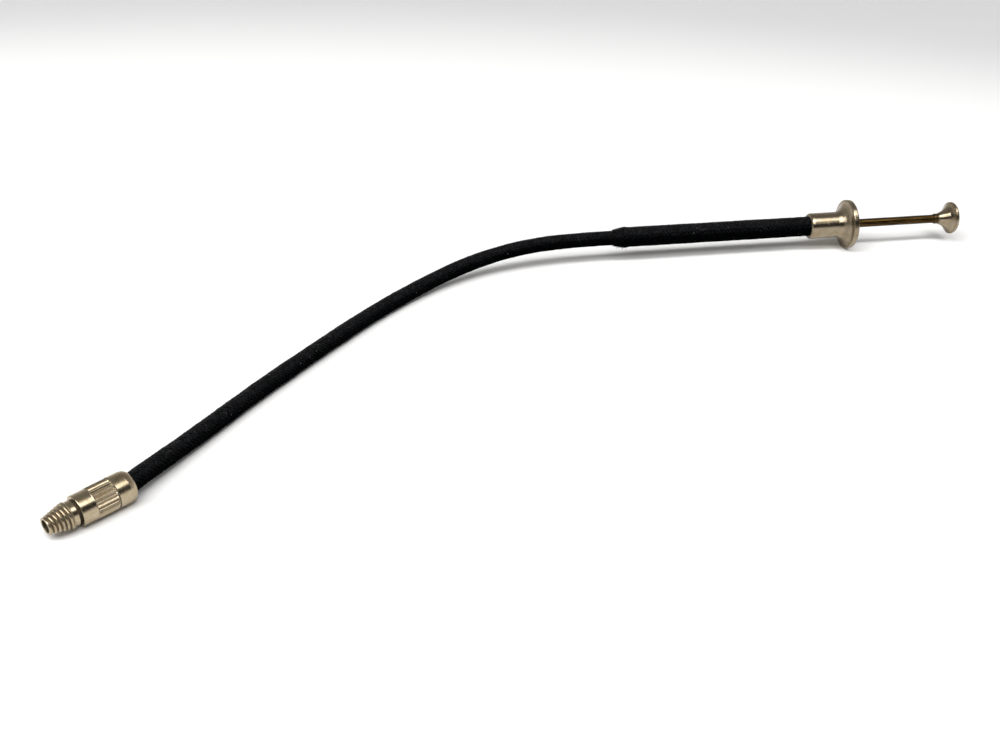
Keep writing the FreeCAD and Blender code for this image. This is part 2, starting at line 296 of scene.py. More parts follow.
def turned(name, points, segs, place, material, closed=True, step=0.25, shape=None, dirt_and_shade=None):
    """Surface of revolution from a closed (x, r) loop, or from an open path
    between two points on the axis.  shape(x, r, angle) may move the radius."""
    rows = refine(fillet(points, closed), closed, step)
    length = np.concatenate([[0], np.cumsum(np.linalg.norm(np.diff(rows, axis=0), axis=1))])
    pole0 = not closed and rows[0, 1] < 1e-9
    pole1 = not closed and rows[-1, 1] < 1e-9
    body = rows[(1 if pole0 else 0):(len(rows) - 1 if pole1 else len(rows))]
    ln = length[(1 if pole0 else 0):(len(rows) - 1 if pole1 else len(rows))]
    m = len(body)
    a = np.arange(segs) / segs * TAU
    X = np.repeat(body[:, :1], segs, 1)
    R = np.repeat(body[:, 1:], segs, 1)
    A = np.repeat(a[None], m, 0)
    D = np.zeros_like(R)
    if shape is not None:
        R, D = shape(X, R, A)
    # the mask below marks darker places: real tarnish, and painted shade in bores and recesses
    if dirt_and_shade is not None:
        D = np.maximum(D, dirt_and_shade(X, R, A))
    verts = place(X, R, A).reshape(-1, 3)
    i, j = np.meshgrid(np.arange(m if closed else m - 1), np.arange(segs), indexing="ij")
    i1, j1 = (i + 1) % m, (j + 1) % segs
    quads = np.stack([i * segs + j, i1 * segs + j, i1 * segs + j1, i * segs + j1], -1).reshape(-1, 4)
    faces, extra, run = [quads], [], np.repeat(ln[:, None], segs, 1).ravel()
    dirt_and_shade_v = D.ravel()
    for flag, row, rev in ((pole0, 0, False), (pole1, m - 1, True)):
        if flag:
            k = len(verts)
            end = rows[0] if row == 0 and not rev else rows[-1]
            verts = np.concatenate([verts, place(np.array([[end[0]]]), np.array([[0.0]]), np.array([[0.0]])).reshape(-1, 3)])
            run = np.append(run, run[row * segs])
            dirt_and_shade_v = np.append(dirt_and_shade_v, dirt_and_shade_v[row * segs])
            jj = np.arange(segs)
            tri = np.stack([np.full(segs, k), row * segs + jj, row * segs + (jj + 1) % segs], 1)
            faces.append(tri[:, ::-1] if rev else tri)
    ob = make_mesh(name, verts, faces, attrs={"run": run, "dirt_and_shade": dirt_and_shade_v}, materials=[material])
    outward(ob)
    return ob


def outward(ob):
    """Makes the faces of a closed mesh point out of it."""
    me = ob.data
    me.calc_loop_triangles()
    t = np.zeros(len(me.loop_triangles) * 3, np.int32)
    me.loop_triangles.foreach_get("vertices", t)
    co = np.zeros(len(me.vertices) * 3, np.float32)
    me.vertices.foreach_get("co", co)
    co = co.reshape(-1, 3).astype(float)
    a, b, c = co[t[0::3]], co[t[1::3]], co[t[2::3]]
    if np.einsum("ij,ij->", a, np.cross(b, c)) < 0:
        me.flip_normals()


def tubes(centre, side, lift, ring, closed_ends=True):
    """Many bars at once.  centre, side and lift are (bars, rows, 3); ring is
    (k, 2) or (bars, rows, k, 2) across and up.  Returns verts and faces."""
    nb, nr = centre.shape[:2]
    ring = np.broadcast_to(ring, (nb, nr) + np.shape(ring)[-2:])
    k = ring.shape[2]
    v = centre[:, :, None] + ring[..., :1] * side[:, :, None] + ring[..., 1:] * lift[:, :, None]
    idx = np.arange(nb * nr * k).reshape(nb, nr, k)
    j1 = (np.arange(k) + 1) % k
    q = np.stack([idx[:, :-1, :], idx[:, :-1, j1], idx[:, 1:, j1], idx[:, 1:, :]], -1).reshape(-1, 4)
    caps = []
    if closed_ends:
        caps = [idx[:, 0, ::-1].reshape(-1, k), idx[:, -1, :].reshape(-1, k)]
    return v.reshape(-1, 3), [q] + caps, k


def waves(rng, n, lowest, highest, count=5):
    """n smooth random functions of one variable, each roughly of unit size."""
    f = rng.uniform(lowest, highest, (n, count))
    ph = rng.uniform(0, TAU, (n, count))
    am = rng.normal(0, 1, (n, count)) / math.sqrt(count)
    return lambda s: (am[:, None] * np.sin(f[:, None] * np.asarray(s)[..., None] + ph[:, None])).sum(-1)


# -------------------------------------------------------------------- materials
class Nodes:
    def __init__(self, name):
        self.mat = bpy.data.materials.new(name)
        self.mat.use_nodes = True
        self.nt = self.mat.node_tree
        self.nt.nodes.clear()
        self.out = self.nt.nodes.new("ShaderNodeOutputMaterial")
        self.bsdf = self.nt.nodes.new("ShaderNodeBsdfPrincipled")
        self.nt.links.new(self.bsdf.outputs[0], self.out.inputs[0])

    def add(self, kind, **kw):
        node = self.nt.nodes.new(kind)
        for k, v in kw.items():
            if k in ("inputs",):
                for key, val in v.items():
                    self.put(node.inputs[key], val)
            else:
                setattr(node, k, v)
        return node

    def put(self, socket, val):
        if isinstance(val, bpy.types.NodeSocket):
            self.nt.links.new(val, socket)
        else:
            socket.default_value = val

    def math(self, op, a, b=0.0, c=0.0, clamp=False):
        n = self.add("ShaderNodeMath", operation=op, use_clamp=clamp)
        for i, v in enumerate((a, b, c)):
            self.put(n.inputs[i], v)
        return n.outputs[0]

    def ramp(self, x, lo, hi, a=0.0, b=1.0):
        n = self.add("ShaderNodeMapRange", interpolation_type="SMOOTHSTEP", clamp=True)
        for key, v in (("Value", x), ("From Min", lo), ("From Max", hi), ("To Min", a), ("To Max", b)):
            self.put(n.inputs[key], v)
        return n.outputs[0]

    def mix(self, f, a, b, blend="MIX"):
        n = self.add("ShaderNodeMix", data_type="RGBA", blend_type=blend)
        self.put(n.inputs[0], f)
        self.put(n.inputs[6], a if isinstance(a, bpy.types.NodeSocket) else (*a, 1))
        self.put(n.inputs[7], b if isinstance(b, bpy.types.NodeSocket) else (*b, 1))
        return n.outputs[2]

    def noise(self, vec, scale, detail=3.0, rough=0.55):
        n = self.add("ShaderNodeTexNoise", inputs={"Scale": scale, "Detail": detail, "Roughness": rough})
        self.put(n.inputs["Vector"], vec)
        return n.outputs["Fac"]

    def mm(self):
        """Position in the row frame in millimetres."""
        c = self.add("ShaderNodeTexCoord")
        s = self.add("ShaderNodeVectorMath", operation="SCALE")
        self.put(s.inputs[0], c.outputs["Object"])
        s.inputs["Scale"].default_value = 1000.0
        return s.outputs[0]

    def attr(self, name, out="Fac"):
        return self.add("ShaderNodeAttribute", attribute_name=name).outputs[out]

    def bump(self, height, strength, distance_mm, normal=None):
        n = self.add("ShaderNodeBump")
        n.inputs["Strength"].default_value = strength
        n.inputs["Distance"].default_value = distance_mm * MM
        self.put(n.inputs["Height"], height)
        if normal is not None:
            self.put(n.inputs["Normal"], normal)
        return n.outputs[0]


def aged_nickel(name, tint=(0.325, 0.272, 0.197), tarnish=(0.262, 0.203, 0.125), seed=0.0, rust=0.35,
                soil_and_shade_colour=(0.030, 0.022, 0.014), matt=0.65):
    """Semi-bright nickel on brass, yellowed, with faint turning marks.  The
    dirt_and_shade attribute dulls and darkens it: tarnish in thread roots and
    knurl grooves, painted shade in bores and seams.  rust sets how far it has
    worn brown in patches."""
    n = Nodes(name)
    p = n.mm()
    off = n.add("ShaderNodeVectorMath", operation="ADD")
    n.put(off.inputs[0], p)
    off.inputs[1].default_value = (seed, seed * 1.7, seed * 0.6)
    p = off.outputs[0]
    broad = n.noise(p, 0.55, 3.0)
    fine = n.noise(p, 5.0, 4.0, 0.6)
    grain = n.noise(p, 22.0, 3.0, 0.6)
    pits = n.ramp(n.noise(p, 9.0, 2.0, 0.5), 0.66, 0.74)
    dirt_and_shade = n.attr("dirt_and_shade")
    col = n.mix(n.ramp(broad, 0.38, 0.68, 0.0, 0.75), tint, tarnish)
    col = n.mix(n.ramp(fine, 0.45, 0.75, 0.0, 0.35), col, (0.19, 0.143, 0.088))
    worn = n.math("MULTIPLY", n.ramp(n.noise(p, 1.3, 4.0, 0.65), 0.50, 0.66), rust)
    col = n.mix(worn, col, (0.225, 0.155, 0.095))
    col = n.mix(n.math("MULTIPLY", pits, 0.45), col, (0.16, 0.12, 0.08))
    # painted shade: besides real tarnish in thread roots and knurl grooves, this mask darkens bores and seams as
    # shadow would
    soil_and_shade = n.math("MULTIPLY", dirt_and_shade, n.ramp(fine, 0.2, 0.7, 0.75, 1.0), clamp=True)
    col = n.mix(soil_and_shade, col, soil_and_shade_colour)
    n.put(n.bsdf.inputs["Base Color"], col)
    n.put(n.bsdf.inputs["Metallic"], n.math("SUBTRACT", 1.0, n.math("MULTIPLY", soil_and_shade, matt)))
    n.put(n.bsdf.inputs["Specular IOR Level"], n.math("SUBTRACT", 0.5, n.math("MULTIPLY", soil_and_shade, 0.44)))
    r = n.math("ADD", n.ramp(fine, 0.3, 0.75, 0.17, 0.25), n.math("MULTIPLY", soil_and_shade, 0.08 + 0.57 * matt))
    r = n.math("ADD", r, n.ramp(broad, 0.35, 0.7, -0.01, 0.05), clamp=True)
    n.put(n.bsdf.inputs["Roughness"], r)
    h = n.math("ADD", n.math("MULTIPLY", grain, 0.35), n.math("MULTIPLY", fine, 0.65))
    h = n.math("SUBTRACT", h, n.math("MULTIPLY", pits, 0.6))
    nm = n.bump(h, 0.05, 0.02)
    run = n.add("ShaderNodeCombineXYZ")
    n.put(run.inputs[0], n.math("MULTIPLY", n.attr("run"), 14.0))
    sep = n.add("ShaderNodeSeparateXYZ")
    n.put(sep.inputs[0], p)
    n.put(run.inputs[1], n.math("MULTIPLY", sep.outputs[2], 0.35))
    n.put(run.inputs[2], n.math("MULTIPLY", sep.outputs[1], 0.35))
    marks = n.noise(run.outputs[0], 1.0, 4.0, 0.65)
    nm = n.bump(marks, 0.05, 0.012, nm)
    n.put(n.bsdf.inputs["Normal"], nm)
    return n.mat


def drawn_metal(name, base, dark, rough=(0.25, 0.45), direction=None, streak=1.0, spots=0.3):
    """Turned or drawn metal with streaks along direction."""
    n = Nodes(name)
    p = n.mm()
    d = np.array(direction if direction is not None else (1.0, 0.0, 0.0), float)
    # coordinates squeezed along the drawing direction
    dot = n.add("ShaderNodeVectorMath", operation="DOT_PRODUCT")
    n.put(dot.inputs[0], p)
    dot.inputs[1].default_value = tuple(d)
    back = n.add("ShaderNodeVectorMath", operation="SCALE")
    back.inputs[0].default_value = tuple(d)
    n.put(back.inputs["Scale"], n.math("MULTIPLY", dot.outputs["Value"], -0.94))
    sq = n.add("ShaderNodeVectorMath", operation="ADD")
    n.put(sq.inputs[0], p)
    n.put(sq.inputs[1], back.outputs[0])
    s1 = n.noise(sq.outputs[0], 4.5, 4.0, 0.6)
    s2 = n.noise(p, 1.3, 4.0, 0.6)
    s3 = n.noise(sq.outputs[0], 16.0, 3.0, 0.6)
    col = n.mix(n.ramp(s1, 0.40, 0.62, 0.0, streak), base, dark)
    col = n.mix(n.ramp(s2, 0.55, 0.75, 0.0, spots), col, tuple(x * 0.45 for x in dark))
    n.put(n.bsdf.inputs["Base Color"], col)
    n.bsdf.inputs["Metallic"].default_value = 1.0
    n.put(n.bsdf.inputs["Roughness"], n.ramp(s2, 0.3, 0.7, *rough))
    n.put(n.bsdf.inputs["Normal"], n.bump(n.math("ADD", s1, s3), 0.35, 0.012))
    return n.mat


def cotton(name, base=(0.0002, 0.0003, 0.0005), light=(0.0195, 0.0207, 0.0232)):
    """Waxed black cotton.  The filaments run along each yarn."""
    n = Nodes(name)
    u, v, tone = n.attr("yarn_u"), n.attr("yarn_v"), n.attr("tone")
    cell = n.add("ShaderNodeCombineXYZ")
    n.put(cell.inputs[0], n.math("MULTIPLY", u, 1.6))
    n.put(cell.inputs[1], n.math("MULTIPLY", v, 14.0))
    n.put(cell.inputs[2], n.math("MULTIPLY", tone, 37.0))
    fil = n.noise(cell.outputs[0], 1.0, 3.0, 0.6)
    p = n.attr("rest", "Vector")
    broad = n.noise(p, 0.35, 3.0, 0.6)
    mid = n.noise(p, 2.6, 3.0, 0.6)
    specks = n.ramp(n.noise(p, 11.0, 1.0, 0.5), 0.77, 0.83)
    shade = n.math("MULTIPLY_ADD", tone, 0.34, n.ramp(fil, 0.44, 0.70, 0.0, 0.70))
    # painted light: the upper side is painted lighter and the underside nearly black, following the height of the
    # surface's normal, and only the upper side gets a specular reflection
    geo = n.add("ShaderNodeNewGeometry")
    sep = n.add("ShaderNodeSeparateXYZ")
    n.put(sep.inputs[0], geo.outputs["Normal"])
    painted_top_light = n.ramp(sep.outputs[2], 0.10, 0.95, 0.03, 1.0)
    shade = n.math("MULTIPLY", shade, n.ramp(mid, 0.38, 0.62, 0.08, 1.35))
    shade = n.math("MULTIPLY", shade, painted_top_light, clamp=True)
    col = n.mix(shade, base, light)
    col = n.mix(n.ramp(broad, 0.42, 0.70, 0.0, 0.25), col, (0.0005, 0.0009, 0.0009))
    col = n.mix(n.math("MULTIPLY", specks, 0.45), col, (0.10, 0.098, 0.09))
    n.put(n.bsdf.inputs["Base Color"], col)
    n.put(n.bsdf.inputs["Roughness"], n.ramp(fil, 0.3, 0.7, 0.34, 0.55))
    n.put(n.bsdf.inputs["Specular IOR Level"], n.math("MULTIPLY", painted_top_light, 0.05))
    n.put(n.bsdf.inputs["Normal"], n.bump(fil, 0.75, 0.03))
    return n.mat


def fibre(name, colour, rough=0.7):
    n = Nodes(name)
    p = n.attr("rest", "Vector")
    col = n.mix(n.noise(p, 0.8, 2.0), tuple(c * 0.6 for c in colour), colour)
    n.put(n.bsdf.inputs["Base Color"], col)
    n.bsdf.inputs["Roughness"].default_value = rough
    n.bsdf.inputs["Specular IOR Level"].default_value = 0.2
    return n.mat


NICKEL_A = aged_nickel("aged_nickel_camera_end", (0.455, 0.378, 0.262), (0.375, 0.295, 0.180), seed=3.0, rust=0.30)
NICKEL_B = aged_nickel("aged_nickel_handle", seed=11.0)
NICKEL_C = aged_nickel("aged_nickel_button", seed=23.0, soil_and_shade_colour=(0.050, 0.029, 0.010), matt=0.0)
ROD_BRASS = drawn_metal("tarnished_brass", (0.074, 0.044, 0.0135), (0.015, 0.0080, 0.0030), (0.26, 0.42),
                        HANDLE_D, 0.95, 0.5)
BRASS = drawn_metal("plain_brass", (0.72, 0.56, 0.30), (0.50, 0.36, 0.17), (0.22, 0.38), HANDLE_D, 0.5, 0.25)
BRASS_X = drawn_metal("plain_brass_camera_end", (0.72, 0.56, 0.30), (0.50, 0.36, 0.17), (0.22, 0.38),
                      (1, 0, 0), 0.5, 0.25)
STEEL = drawn_metal("drawn_steel", (0.58, 0.57, 0.55), (0.34, 0.33, 0.31), (0.20, 0.38), HANDLE_D, 0.5, 0.2)
STEEL_X = drawn_metal("drawn_steel_camera_end", (0.50, 0.48, 0.45), (0.26, 0.24, 0.21), (0.28, 0.45),
                      (1, 0, 0), 0.6, 0.3)
COTTON = cotton("black_cotton")
FUZZ = fibre("black_cotton_fuzz", (0.0065, 0.0063, 0.0062))
LINT = fibre("pale_lint", (0.42, 0.41, 0.38))


def wound_steel(name):
    n = Nodes(name)
    u, v = n.attr("yarn_u"), n.attr("yarn_v")
    c = n.add("ShaderNodeCombineXYZ")
    n.put(c.inputs[0], n.math("MULTIPLY", u, 0.9))
    n.put(c.inputs[1], n.math("MULTIPLY", v, 9.0))
    s = n.noise(c.outputs[0], 1.0, 4.0, 0.6)
    col = n.mix(n.ramp(s, 0.4, 0.65), (0.47, 0.46, 0.43), (0.27, 0.25, 0.22))
    n.put(n.bsdf.inputs["Base Color"], col)
    n.bsdf.inputs["Metallic"].default_value = 1.0
    n.put(n.bsdf.inputs["Roughness"], n.ramp(s, 0.3, 0.7, 0.30, 0.50))
    n.put(n.bsdf.inputs["Normal"], n.bump(s, 0.3, 0.01))
    return n.mat


WOUND = wound_steel("wound_steel_wire")


def smooth(x, a, b):
    t = np.clip((np.asarray(x, float) - a) / (b - a), 0, 1)
    return t * t * (3 - 2 * t)


# ----------------------------------------------------------------- camera end
def nipple_shape(X, R, A):
    """Cuts the tapered thread, with worn crests and soil in the roots."""
    outer = R > 1.15
    pitch, depth = 0.56, 0.25
    phase = (X + 4.45) / pitch - (A + math.pi / 2) / TAU
    q = np.abs(phase - np.round(phase))
    cut = 1 - smooth(q, 0.05, 0.36)
    crown = 0.022 * smooth(q, 0.34, 0.50) - 0.022
    run = smooth(X, -4.44, -4.20) * (1 - smooth(X, -1.36, -1.16)) * outer
    wear = 1 + 0.05 * np.sin(3 * A + 5 * X) + 0.03 * np.sin(7 * A - 3 * X)
    R2 = R - run * (depth * cut * wear + crown * 0.0) + run * crown
    dirt_and_shade = run * smooth(cut, 0.30, 0.95) * 0.80
    # tarnish and painted shade in the groove in front of the collar, and painted shade down the bore
    groove_tarnish_and_shade = smooth(X, -0.40, -0.30) * (X < 0.05) * outer
    painted_bore_shade = (R < 1.02) * smooth(X, -4.50, -4.38)
    return R2, np.maximum(dirt_and_shade, np.maximum(groove_tarnish_and_shade * 1.0, painted_bore_shade * 0.97))


nipple_rows = [(-4.50, 1.00, 0.03), (-4.50, 1.325, 0.05)]
nipple_rows += [(-4.44, 1.34, 0), (-4.20, 1.345, 0), (-4.13, 1.425, 0)]
nipple_rows += [(x, 1.42 + (x + 4.15) * (2.16 - 1.42) / 2.85, 0) for x in (-3.0, -2.0)]
nipple_rows += [(-1.30, 2.16, 0.05), (-1.07, 1.92, 0.05), (-0.34, 1.92, 0.06), (-0.34, 1.62, 0.04),
                (0.0, 1.62, 0.03), (0.0, 1.85, 0.02), (3.20, 1.85, 0.05), (3.20, 0.80, 0.04),
                (-2.50, 0.80, 0.03), (-2.50, 1.00, 0.03)]
nipple = turned("nipple_turned", nipple_rows, 168, row_point, NICKEL_A, True, 0.035, nipple_shape)
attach(nipple, "camera_end")
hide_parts("threaded_nipple")

rng = np.random.default_rng(7)
ridge_depth = rng.uniform(0.80, 1.08, 22)
ridge_end = rng.normal(0, 0.03, 22)


def collar_shape(X, R, A):
    """Straight knurl between the two smooth bands."""
    outer = R > 2.0
    n = 22
    q = (A - math.radians(4.0) - math.pi / 2) / TAU * n
    k = np.round(q).astype(int) % n
    q = np.abs(q - np.round(q))
    ends = smooth(X, 2.24 + ridge_end[k], 2.38 + ridge_end[k]) * (1 - smooth(X, 5.46, 5.60))
    cut = (0.5 + 0.5 * np.cos(TAU * q))**0.85 * ends * outer
    R2 = R - 0.21 * ridge_depth[k] * cut
    zone = smooth(X, 2.22, 2.30) * (1 - smooth(X, 5.54, 5.62)) * outer
    dirt_and_shade = zone * smooth(cut, 0.60, 1.0) * 0.60
    # painted shade: darker bands at the knurl's two ends, strongest at the rear step, dull its highlight there;
    # painted shade also inside the rear mouth and the bore
    painted_seam_shade = outer * ((1 - smooth(np.abs(X - 2.27), 0.0, 0.06)) * 0.35 + (1 - smooth(np.abs(X - 5.62), 0.05, 0.11)) * 0.90)
    mouth = smooth(X, 8.52, 8.62) * (R < 1.96) * 0.8
    inside = (R < 1.9) * 0.6
    return R2, np.clip(np.maximum(np.maximum(dirt_and_shade, painted_seam_shade), np.maximum(mouth, inside)), 0, 1)


collar_rows = [(0.0, 1.85, 0.02), (0.0, 2.385, 0.15), (2.17, 2.385, 0.06), (2.25, 2.405, 0.03),
               (5.59, 2.415, 0.03), (5.67, 2.465, 0.08), (7.56, 2.47, 0.8), (8.05, 2.385, 0.7),
               (8.38, 2.21, 0.6), (8.58, 1.99, 0.22), (8.61, 1.85, 0.05), (8.30, 1.745, 0.1),
               (7.90, 1.68, 0.2), (7.20, 1.62, 0.03), (7.20, 1.85, 0.03)]
collar = turned("collar_turned", collar_rows, 440, row_point, NICKEL_A, True, 0.09, collar_shape)
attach(collar, "camera_end")
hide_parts("knurled_collar")

# --------------------------------------------------------------------- handle


def flange_darkening(X, R, A):
    # darker in the hollow where the sleeve meets the dish, at the step inside the rim and at the sleeve's front edge;
    # painted shade inside the bore
    hollow = (1 - smooth(np.abs(X - 48.40), 0.15, 0.85)) * smooth(R, 2.8, 3.1) * 0.22
    rim = (1 - smooth(np.abs(R - 4.80), 0.03, 0.20)) * (X < 49.6) * 0.60
    edge = (1 - smooth(X, 41.25, 41.41)) * smooth(R, 2.0, 2.2) * 0.35
    inside = (R < 2.2) * smooth(X, 41.33, 41.5) * 0.7
    return np.maximum(np.maximum(hollow, rim), np.maximum(edge, inside))


flange_rows = [(41.25, 2.085, 0.03), (43.60, 2.085, 0.03), (43.60, 1.75, 0.02), (49.60, 1.75, 0.02),
               (49.60, 1.00, 0.02), (50.50, 1.00, 0.12), (50.50, 4.72, 0.20), (50.42, 4.99, 0.15),
               (50.20, 5.05, 0.10), (49.54, 5.05, 0.06), (49.40, 4.95, 0.06), (49.36, 4.80, 0.05),
               (49.30, 4.56, 0.10), (49.16, 4.15, 0.5), (48.88, 3.68, 0.7), (48.46, 3.24, 0.8),
               (47.92, 2.88, 0.9), (47.20, 2.68, 1.2), (41.85, 2.68, 0.35), (41.43, 2.58, 0.25),
               (41.25, 2.32, 0.10)]
flange = turned("flange_turned", flange_rows, 256, handle_point, NICKEL_B, True, 0.18, None, flange_darkening)
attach(flange, "handle")
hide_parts("finger_flange")

rod_rows = [(28.0, 0.56, 0.03), (28.0, 0.88, 0.06), (72.2, 0.88, 0.02), (72.2, 0.56, 0.02)]
rod = turned("rod_drawn", rod_rows, 96, handle_point, ROD_BRASS, True, 0.4)
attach(rod, "plunger")
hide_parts("plunger_rod")


def button_dirt(X, R, A):
    neck = (1 - smooth(X, 69.95, 70.45)) * 1.0
    flare = (1 - smooth(np.abs(X - 72.1), 0.1, 0.7)) * smooth(R, 1.9, 2.2) * 0.15
    rim = (1 - smooth(np.abs(X - 72.84), 0.02, 0.12)) * smooth(R, 2.8, 3.05) * 0.35
    return np.maximum(np.maximum(neck, flare), rim)


button_rows = [(73.65, 0.0, 0), (73.65, 2.80, 0.45), (73.52, 3.20, 0.30), (73.26, 3.35, 0.22),
               (72.90, 3.33, 0.12), (72.78, 3.08, 0.12), (72.52, 2.66, 0.4), (72.14, 2.24, 0.7),
               (71.35, 1.62, 1.2), (70.00, 1.01, 0.10), (69.86, 1.07, 0.06), (69.42, 1.07, 0.06),
               (69.30, 1.00, 0.04), (69.30, 0.89, 0.0), (72.20, 0.89, 0.0), (72.20, 0.0, 0)]
button = turned("button_turned", button_rows, 192, handle_point, NICKEL_C, False, 0.16, None, button_dirt)
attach(button, "plunger")
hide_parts("thumb_button")

# the return spring, a fixed wound coil on the handle between its seats
SPRING_X0, SPRING_X1, SPRING_TURNS, SPRING_R, SPRING_WIRE = 20.02, 43.38, 15, 1.16, 0.17
q = np.linspace(0, 1, SPRING_TURNS * 30 + 1)
ang = TAU * SPRING_TURNS * q
along_x = SPRING_X0 + SPRING_WIRE + q * (SPRING_X1 - SPRING_X0 - 2 * SPRING_WIRE)
mid_line = handle_point(along_x, SPRING_R + 0 * ang, ang)
out_dir = np.cos(ang)[:, None] * HANDLE_N + np.sin(ang)[:, None] * UP
run_dir = np.gradient(mid_line, axis=0)
run_dir /= np.linalg.norm(run_dir, axis=1)[:, None]
ring_a = np.arange(14) / 14 * TAU
verts, faces, k = tubes(mid_line[None], out_dir[None], np.cross(run_dir, out_dir)[None],
                        SPRING_WIRE * np.stack([np.cos(ring_a), np.sin(ring_a)], -1))
spring = make_mesh("return_spring_wound", verts, faces, materials=[WOUND],
                   attrs={"yarn_u": np.repeat(ang * SPRING_R, k), "yarn_v": np.tile(np.arange(k) / k, len(q))})
outward(spring)
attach(spring, "handle")
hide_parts("return_spring")
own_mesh(spring)

# ---------------------------------------------------------------------- braid
# Yarn section: a flattened loaf, across and up, unit half-width and half-height.
YARN = np.array([(-1.0, -0.05), (-0.80, 0.55), (-0.30, 0.97), (0.30, 0.97), (0.80, 0.55), (1.0, -0.05),
                 (0.55, -0.85), (-0.55, -0.85)])[::-1]
FLEX_AT = [6.5 + 15.0 * k for k in range(8)]


def weave(x):
    """Over and under, two by two: +1 over, -1 under, period 4."""
    return np.tanh(2.0 * np.cos((x - 0.5) * math.pi / 2)) / math.tanh(2.0)


class Braid:
    """carriers/2 yarns each way round a centre line given by arc length."""

    def __init__(self, seed, carriers, mid_r, amp, half_w, half_h, pitch, ds):
        self.rng = np.random.default_rng(seed)
        self.n, self.mid_r, self.amp = carriers // 2, mid_r, amp
        self.half_w, self.half_h, self.pitch, self.ds = half_w, half_h, pitch, ds
        n = carriers
        self.swing = waves(self.rng, n, 0.15, 1.4)
        self.heave = waves(self.rng, n, 0.5, 2.6)
        self.girth = waves(self.rng, n, 0.6, 3.0)
        self.tone = self.rng.uniform(0.0, 1.0, n)
        self.width = 1 + 0.05 * self.rng.normal(0, 1, n)

    def build(self, s0, s1, radius=None, tail=None):
        """Verts, faces and attributes of the yarns between two arc lengths.
        radius(s) adds to the yarn's distance from the centre line."""
        s = np.arange(math.floor(s0 / self.ds), math.floor(s1 / self.ds) + 1) * self.ds
        n2 = 2 * self.n
        way = np.repeat([1.0, -1.0], self.n)[:, None]
        number = np.tile(np.arange(self.n), 2)[:, None]
        S = np.repeat(s[None], n2, 0)
        run = 2 * self.n * S / self.pitch
        over = np.where(way > 0, weave(2 * number + run), -weave(2 * number - run))
        ang = TAU * number / self.n + way * TAU * S / self.pitch + 0.020 * self.swing(S)
        r = self.mid_r + self.amp * over + 0.013 * self.heave(S)
        if radius is not None:
            r = r + radius(S)
        c, t, nn, bb = along(S)
        ra = np.cos(ang)[..., None] * nn + np.sin(ang)[..., None] * bb
        pos = c + r[..., None] * ra
        d = np.gradient(pos, axis=1)
        d /= np.linalg.norm(d, axis=2)[..., None]
        side = np.cross(d, ra)
        side /= np.linalg.norm(side, axis=2)[..., None]
        lift = np.cross(side, d)
        w = self.half_w * self.width[:, None] * (1 + 0.07 * self.girth(S)) * (1 + 0.05 * over)
        if tail is not None:
            w = w * tail(S)
        h = self.half_h * (1 + 0.05 * self.heave(S))
        ring = YARN[None, None] * np.stack([w, h], -1)[:, :, None]
        v, faces, k = tubes(pos, side, lift, ring)
        dl = np.linalg.norm(np.diff(pos, axis=1), axis=2)
        u = np.concatenate([np.zeros((n2, 1)), np.cumsum(dl, 1)], 1) + s0 * 1.4
        attrs = {
            "yarn_u": np.repeat(u[..., None], k, 2).ravel(),
            "yarn_v": np.broadcast_to(YARN[None, None, :, 0] * 0.5 + 0.5, (n2, len(s), k)).ravel(),
            "tone": np.broadcast_to(self.tone[:, None, None], (n2, len(s), k)).ravel(),
            "rest": v}
        return v, faces, attrs


def slivers(rng, s0, s1, count, radius, length, thick, lift, angle=None):
    """Loose fibres: thin closed slivers that start in the surface and stray."""
    s = rng.uniform(s0, s1, count)
    a = rng.uniform(0, TAU, count) if angle is None else rng.normal(angle[0], angle[1], count)
    c, t, nn, bb = along(s)
    ra = np.cos(a)[:, None] * nn + np.sin(a)[:, None] * bb
    ro = np.cross(t, ra)
    yaw = rng.uniform(0, TAU, count)
    flat = np.cos(yaw)[:, None] * t + np.sin(yaw)[:, None] * ro
    ln = rng.uniform(0.4, 1.0, count) * length
    up = rng.uniform(-0.1, 1.0, count) * lift
    curl = rng.normal(0, 0.5, count)
    side = np.cross(flat, ra)
    rad = radius(s) if callable(radius) else np.full(count, radius)
    q = np.linspace(0, 1, 6)
    base = c + (rad - 0.03)[:, None] * ra
    cen = (base[:, None] + (ln[:, None] * q)[..., None] * flat[:, None]
           + (up[:, None] * q**1.6)[..., None] * ra[:, None]
           + (curl[:, None] * ln[:, None] * q**2)[..., None] * side[:, None])
    # keep each fibre on or above the surface of a round cable
    bow = (ln[:, None] * q * np.abs(np.sin(yaw))[:, None])**2 / (2 * rad[:, None])
    cen = cen - bow[..., None] * ra[:, None]
    d = np.gradient(cen, axis=1)
    d /= np.linalg.norm(d, axis=2)[..., None]
    sd = np.cross(d, np.broadcast_to(ra[:, None], d.shape))
    sd /= np.linalg.norm(sd, axis=2)[..., None]
    lf = np.cross(sd, d)
    w = thick * rng.uniform(0.6, 1.2, count)[:, None] * (1 - 0.75 * q)
    tri = np.array([(0.0, 1.0), (-0.87, -0.5), (0.87, -0.5)])
    ring = tri[None, None] * w[..., None, None]
    v, faces, k = tubes(cen, sd, lf, ring)
    zero = np.zeros(len(v))
    return v, faces, {"yarn_u": zero, "yarn_v": zero, "tone": zero + 0.5, "rest": v}


def join(parts):
    """Several (verts, faces, attrs) into one, with a material number each."""
    verts, faces, mats, at, base = [], [], [], {}, 0
    for v, fs, a, m in parts:
        verts.append(v)
        for f in fs:
            if len(f):
                faces.append(f + base)
                mats.append(np.full(len(f), m))
        for k, x in a.items():
            at.setdefault(k, []).append(x)
        base += len(v)
    return np.concatenate(verts), faces, {k: np.concatenate(x) for k, x in at.items()}, mats


def soft_piece(name, parts, materials):
    v, f, a, m = join(parts)
    return make_mesh(name, v, f, attrs=a, materials=materials, face_mat=m)


